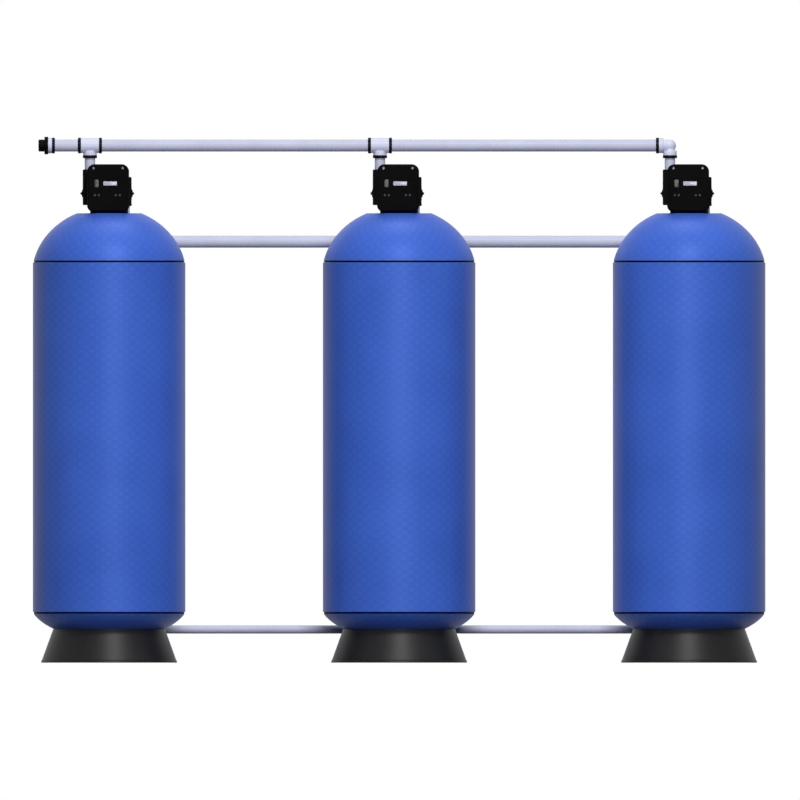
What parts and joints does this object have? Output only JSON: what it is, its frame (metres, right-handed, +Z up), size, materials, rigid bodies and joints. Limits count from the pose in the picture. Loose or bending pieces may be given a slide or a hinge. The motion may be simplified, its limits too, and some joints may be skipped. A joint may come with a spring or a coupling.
{
  "type": "activated carbon filter",
  "caption": "Multi-vessel activated carbon water filter: blue fibreglass pressure vessels on black cone bases, automatic control valves, grey pipe headers.",
  "frame": {"origin": "on the floor, at the centre of the unit's footprint", "axes": "+X along the row of vessels, towards the end away from the inlet; +Y to the back, where the headers run; +Z up"},
  "size_m": [2.9298, 0.7804, 2.1036],
  "materials": {
    "tank_shell": "glossy",
    "base_plastic": "satin",
    "valve_plastic": "satin",
    "button_cap": "satin",
    "pipe_plastic": "satin",
    "ring_plastic": "satin",
    "display_glass": "glossy",
    "lens_plastic": "glossy",
    "screw_steel": "brushed",
    "carbon_granules": "matte",
    "gravel": "matte",
    "distributor_plastic": "satin",
    "seal_rubber": "matte",
    "piston_plastic": "glossy",
    "gear_plastic": "satin",
    "pinion_brass": "satin",
    "motor_steel": "brushed",
    "board_laminate": "satin"
  },
  "bodies": {
    "unit": {"base_1": "base_plastic", "base_2": "base_plastic", "base_3": "base_plastic", "carbon_beds": "carbon_granules", "circuit_boards": "board_laminate", "cover_screws": "screw_steel", "display_windows": "display_glass", "drain_fittings": "pipe_plastic", "drain_pipes": "pipe_plastic", "drive_brackets": "valve_plastic", "drive_motors": "motor_steel", "end_spigots": "valve_plastic", "end_union_nuts": "valve_plastic", "front_cover_1": "valve_plastic", "front_cover_2": "valve_plastic", "front_cover_3": "valve_plastic", "gravel_beds": "gravel", "indicator_lenses": "lens_plastic", "inlet_drop_pipes": "pipe_plastic", "inlet_header_fittings": "pipe_plastic", "inlet_header_pipes": "pipe_plastic", "inlet_valve_elbows": "pipe_plastic", "lower_distributors": "distributor_plastic", "outlet_fittings": "pipe_plastic", "outlet_pipes": "pipe_plastic", "outlet_tailpieces": "pipe_plastic", "retaining_rings": "ring_plastic", "riser_tubes": "distributor_plastic", "seal_stacks": "seal_rubber", "tank_1": "tank_shell", "tank_2": "tank_shell", "tank_3": "tank_shell", "union_collars": "pipe_plastic", "upper_diffusers": "distributor_plastic", "valve_body_1": "valve_plastic", "valve_body_2": "valve_plastic", "valve_body_3": "valve_plastic", "valve_union_nuts": "valve_plastic"},
    "drive_gear_1": {"drive_gear_1": "gear_plastic"},
    "piston_1": {"piston_1": "piston_plastic"},
    "motor_pinion_1": {"motor_pinion_1": "pinion_brass"},
    "menu_button_1": {"menu_button_1": "button_cap"},
    "set_button_1": {"set_button_1": "button_cap"},
    "down_button_1": {"down_button_1": "button_cap"},
    "up_button_1": {"up_button_1": "button_cap"},
    "drive_gear_2": {"drive_gear_2": "gear_plastic"},
    "piston_2": {"piston_2": "piston_plastic"},
    "motor_pinion_2": {"motor_pinion_2": "pinion_brass"},
    "menu_button_2": {"menu_button_2": "button_cap"},
    "set_button_2": {"set_button_2": "button_cap"},
    "down_button_2": {"down_button_2": "button_cap"},
    "up_button_2": {"up_button_2": "button_cap"},
    "drive_gear_3": {"drive_gear_3": "gear_plastic"},
    "piston_3": {"piston_3": "piston_plastic"},
    "motor_pinion_3": {"motor_pinion_3": "pinion_brass"},
    "menu_button_3": {"menu_button_3": "button_cap"},
    "set_button_3": {"set_button_3": "button_cap"},
    "down_button_3": {"down_button_3": "button_cap"},
    "up_button_3": {"up_button_3": "button_cap"}
  },
  "joints": [
    {"name": "gear_turn_1", "type": "hinge", "parent": "unit", "child": "drive_gear_1", "pos_m": [-1.16, -0.15121, 1.877], "axis": [0, -1, 0], "range_deg": [0, 864]},
    {"name": "piston_slide_1", "type": "slide", "parent": "unit", "child": "piston_1", "axis": [0, -1, 0], "range_m": [0, 0.02401]},
    {"name": "pinion_turn_1", "type": "hinge", "parent": "unit", "child": "motor_pinion_1", "pos_m": [-1.12818, -0.15121, 1.83908], "axis": [0, -1, 0], "range_deg": [-2304.5, 0]},
    {"name": "menu_press_1", "type": "slide", "parent": "unit", "child": "menu_button_1", "axis": [0, 1, 0], "range_m": [0, 0.0012], "stiffness_N_per_m": 600},
    {"name": "set_press_1", "type": "slide", "parent": "unit", "child": "set_button_1", "axis": [0, 1, 0], "range_m": [0, 0.0012], "stiffness_N_per_m": 600},
    {"name": "down_press_1", "type": "slide", "parent": "unit", "child": "down_button_1", "axis": [0, 1, 0], "range_m": [0, 0.0012], "stiffness_N_per_m": 600},
    {"name": "up_press_1", "type": "slide", "parent": "unit", "child": "up_button_1", "axis": [0, 1, 0], "range_m": [0, 0.0012], "stiffness_N_per_m": 600},
    {"name": "gear_turn_2", "type": "hinge", "parent": "unit", "child": "drive_gear_2", "pos_m": [0, -0.15121, 1.877], "axis": [0, -1, 0], "range_deg": [0, 864]},
    {"name": "piston_slide_2", "type": "slide", "parent": "unit", "child": "piston_2", "axis": [0, -1, 0], "range_m": [0, 0.02401]},
    {"name": "pinion_turn_2", "type": "hinge", "parent": "unit", "child": "motor_pinion_2", "pos_m": [0.03182, -0.15121, 1.83908], "axis": [0, -1, 0], "range_deg": [-2304.5, 0]},
    {"name": "menu_press_2", "type": "slide", "parent": "unit", "child": "menu_button_2", "axis": [0, 1, 0], "range_m": [0, 0.0012], "stiffness_N_per_m": 600},
    {"name": "set_press_2", "type": "slide", "parent": "unit", "child": "set_button_2", "axis": [0, 1, 0], "range_m": [0, 0.0012], "stiffness_N_per_m": 600},
    {"name": "down_press_2", "type": "slide", "parent": "unit", "child": "down_button_2", "axis": [0, 1, 0], "range_m": [0, 0.0012], "stiffness_N_per_m": 600},
    {"name": "up_press_2", "type": "slide", "parent": "unit", "child": "up_button_2", "axis": [0, 1, 0], "range_m": [0, 0.0012], "stiffness_N_per_m": 600},
    {"name": "gear_turn_3", "type": "hinge", "parent": "unit", "child": "drive_gear_3", "pos_m": [1.16, -0.15121, 1.877], "axis": [0, -1, 0], "range_deg": [0, 864]},
    {"name": "piston_slide_3", "type": "slide", "parent": "unit", "child": "piston_3", "axis": [0, -1, 0], "range_m": [0, 0.02401]},
    {"name": "pinion_turn_3", "type": "hinge", "parent": "unit", "child": "motor_pinion_3", "pos_m": [1.19182, -0.15121, 1.83908], "axis": [0, -1, 0], "range_deg": [-2304.5, 0]},
    {"name": "menu_press_3", "type": "slide", "parent": "unit", "child": "menu_button_3", "axis": [0, 1, 0], "range_m": [0, 0.0012], "stiffness_N_per_m": 600},
    {"name": "set_press_3", "type": "slide", "parent": "unit", "child": "set_button_3", "axis": [0, 1, 0], "range_m": [0, 0.0012], "stiffness_N_per_m": 600},
    {"name": "down_press_3", "type": "slide", "parent": "unit", "child": "down_button_3", "axis": [0, 1, 0], "range_m": [0, 0.0012], "stiffness_N_per_m": 600},
    {"name": "up_press_3", "type": "slide", "parent": "unit", "child": "up_button_3", "axis": [0, 1, 0], "range_m": [0, 0.0012], "stiffness_N_per_m": 600}
  ],
  "couplings": [
    {"joint": "piston_slide_1", "follows": "gear_turn_1", "m_per_rad": 0.0015915},
    {"joint": "pinion_turn_1", "follows": "gear_turn_1", "ratio": -2.6667},
    {"joint": "piston_slide_2", "follows": "gear_turn_2", "m_per_rad": 0.0015915},
    {"joint": "pinion_turn_2", "follows": "gear_turn_2", "ratio": -2.6667},
    {"joint": "piston_slide_3", "follows": "gear_turn_3", "m_per_rad": 0.0015915},
    {"joint": "pinion_turn_3", "follows": "gear_turn_3", "ratio": -2.6667}
  ]
}
